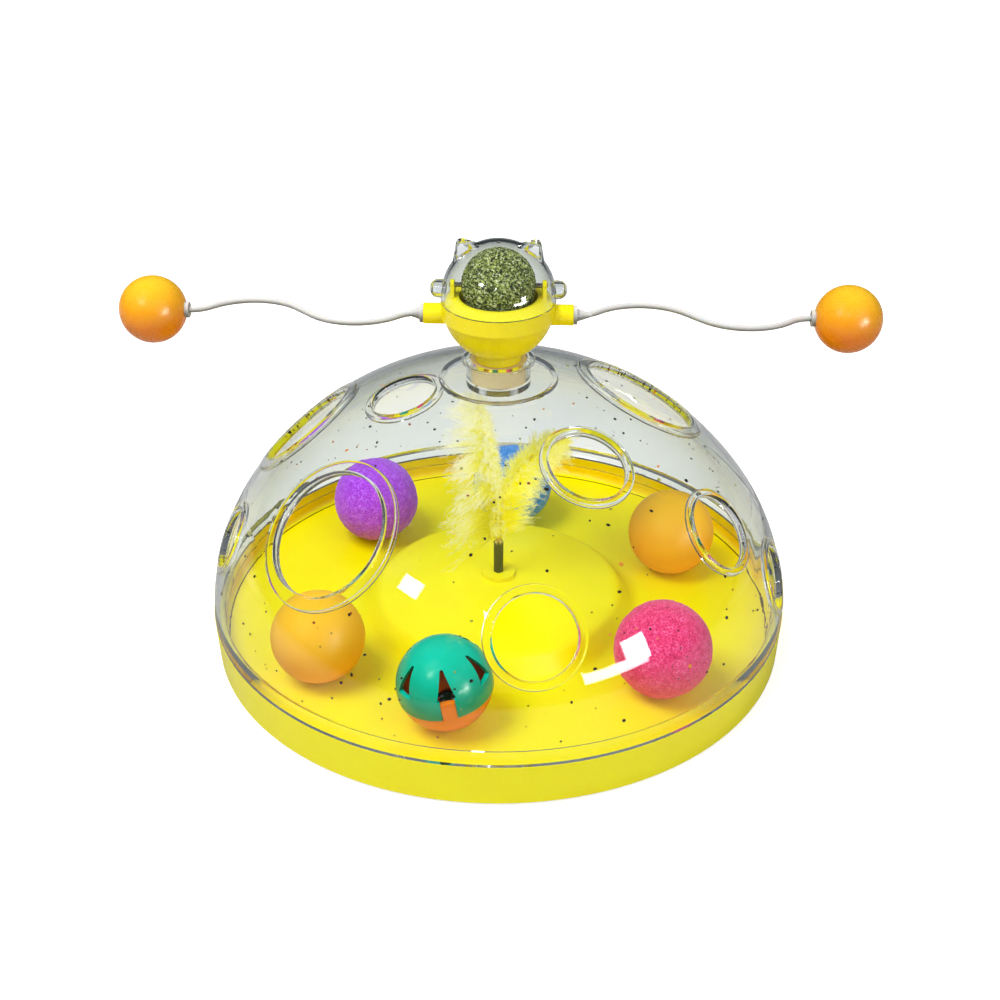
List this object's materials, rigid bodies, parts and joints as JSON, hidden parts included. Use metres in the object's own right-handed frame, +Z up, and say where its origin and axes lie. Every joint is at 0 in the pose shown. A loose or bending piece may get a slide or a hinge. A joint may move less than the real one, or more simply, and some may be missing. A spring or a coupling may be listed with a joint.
{
  "type": "cat track ball toy",
  "caption": "Round track toy for cats: loose balls under a clear dome with paw holes, and a turning cat head with wavy arms.",
  "frame": {"origin": "middle of the toy's underside, on the surface it stands on", "axes": "+Z up; +X to the viewer's right, along the arms; the toy is seen along +Y"},
  "size_m": [0.3176, 0.258, 0.188],
  "materials": {
    "tray_yellow": "moulded, glossy",
    "foot_rubber": "moulded, matt",
    "clear_styrene": "moulded, clear and glossy",
    "bush_tan": "moulded, satin",
    "head_yellow": "moulded, glossy",
    "plated_steel": "zinc plated",
    "pressed_catnip": "pressed dried leaf, coarse",
    "arm_white": "moulded, satin",
    "ball_orange_gloss": "moulded, glossy",
    "ball_orange": "moulded, satin",
    "foam_purple": "fine closed foam",
    "foam_pink": "fine closed foam",
    "foam_blue": "fine closed foam",
    "shell_teal": "moulded, glossy",
    "shell_orange": "moulded, glossy",
    "bell_steel": "plated",
    "sleeve_olive": "heat shrunk tube",
    "quill": "natural quill",
    "plume_cream": "soft down",
    "plume_yellow": "soft down"
  },
  "bodies": {
    "base": {"base_tray": "tray_yellow", "rubber_foot_1": "foot_rubber", "rubber_foot_2": "foot_rubber", "rubber_foot_3": "foot_rubber", "rubber_foot_4": "foot_rubber", "feather_sleeve": "sleeve_olive"},
    "dome": {"dome_cover": "clear_styrene", "head_bush": "bush_tan"},
    "head": {"head_bowl": "head_yellow", "spindle_washer": "plated_steel", "spindle_screw": "plated_steel"},
    "catnip": {"catnip_ball": "pressed_catnip", "catnip_axle": "plated_steel"},
    "cap": {"cat_cover": "clear_styrene"},
    "arm_r": {"arm_right": "arm_white", "arm_ball_right": "ball_orange_gloss"},
    "arm_l": {"arm_left": "arm_white", "arm_ball_left": "ball_orange_gloss"},
    "orange_left": {"orange_ball_left": "ball_orange"},
    "rattle_ball": {"bell_ball_upper": "shell_teal", "bell_ball_lower": "shell_orange"},
    "foam_pink": {"foam_ball_pink": "foam_pink"},
    "orange_right": {"orange_ball_right": "ball_orange"},
    "foam_blue": {"foam_ball_blue": "foam_blue"},
    "foam_purple": {"foam_ball_purple": "foam_purple"},
    "jingle": {"jingle_bell": "bell_steel"},
    "pellet": {"bell_pellet": "plated_steel"},
    "feather": {"feather_quills": "quill", "feather_plume_left": "plume_cream", "feather_plume_right": "plume_yellow"}
  },
  "joints": [
    {"name": "dome_lift", "type": "slide", "parent": "base", "child": "dome", "axis": [0, 0, 1], "range_m": [0, 0.11]},
    {"name": "head_turn", "type": "hinge", "parent": "dome", "child": "head", "pos_m": [0, 0, 0.13], "axis": [0, 0, 1], "continuous": true},
    {"name": "catnip_spin", "type": "hinge", "parent": "head", "child": "catnip", "pos_m": [0, 0, 0.1684], "axis": [0.9994, -0.0349, 0], "continuous": true},
    {"name": "cap_lift", "type": "slide", "parent": "head", "child": "cap", "axis": [0, 0, 1], "range_m": [0, 0.03]},
    {"name": "arm_right_twist", "type": "hinge", "parent": "head", "child": "arm_r", "pos_m": [0, 0, 0.1554], "axis": [0.9994, -0.0349, 0], "continuous": true},
    {"name": "arm_left_twist", "type": "hinge", "parent": "head", "child": "arm_l", "pos_m": [0, 0, 0.1554], "axis": [-0.9994, 0.0349, 0], "continuous": true},
    {"name": "orange_left_roll", "type": "hinge", "parent": "base", "child": "orange_left", "pos_m": [0, 0, 0.029], "axis": [0, 0, 1], "range_deg": [-27, 7.4]},
    {"name": "rattle_ball_roll", "type": "hinge", "parent": "base", "child": "rattle_ball", "pos_m": [0, 0, 0.029], "axis": [0, 0, 1], "range_deg": [-7.4, 17.5]},
    {"name": "foam_pink_roll", "type": "hinge", "parent": "base", "child": "foam_pink", "pos_m": [0, 0, 0.029], "axis": [0, 0, 1], "range_deg": [-17.5, 18.7]},
    {"name": "orange_right_roll", "type": "hinge", "parent": "base", "child": "orange_right", "pos_m": [0, 0, 0.029], "axis": [0, 0, 1], "range_deg": [-18.7, 17.9]},
    {"name": "foam_blue_roll", "type": "hinge", "parent": "base", "child": "foam_blue", "pos_m": [0, 0, 0.029], "axis": [0, 0, 1], "range_deg": [-17.9, 10.2]},
    {"name": "foam_purple_roll", "type": "hinge", "parent": "base", "child": "foam_purple", "pos_m": [0, 0, 0.029], "axis": [0, 0, 1], "range_deg": [-10.2, 27]},
    {"name": "jingle_hop", "type": "slide", "parent": "rattle_ball", "child": "jingle", "axis": [0, 0, 1], "range_m": [0, 0.006]},
    {"name": "pellet_hop", "type": "slide", "parent": "jingle", "child": "pellet", "axis": [0, 0, 1], "range_m": [0, 0.004]},
    {"name": "feather_sway", "type": "hinge", "parent": "base", "child": "feather", "pos_m": [0, 0, 0.0428], "axis": [0, 1, 0], "range_deg": [-12, 12], "stiffness_Nm_per_rad": 0.05}
  ]
}
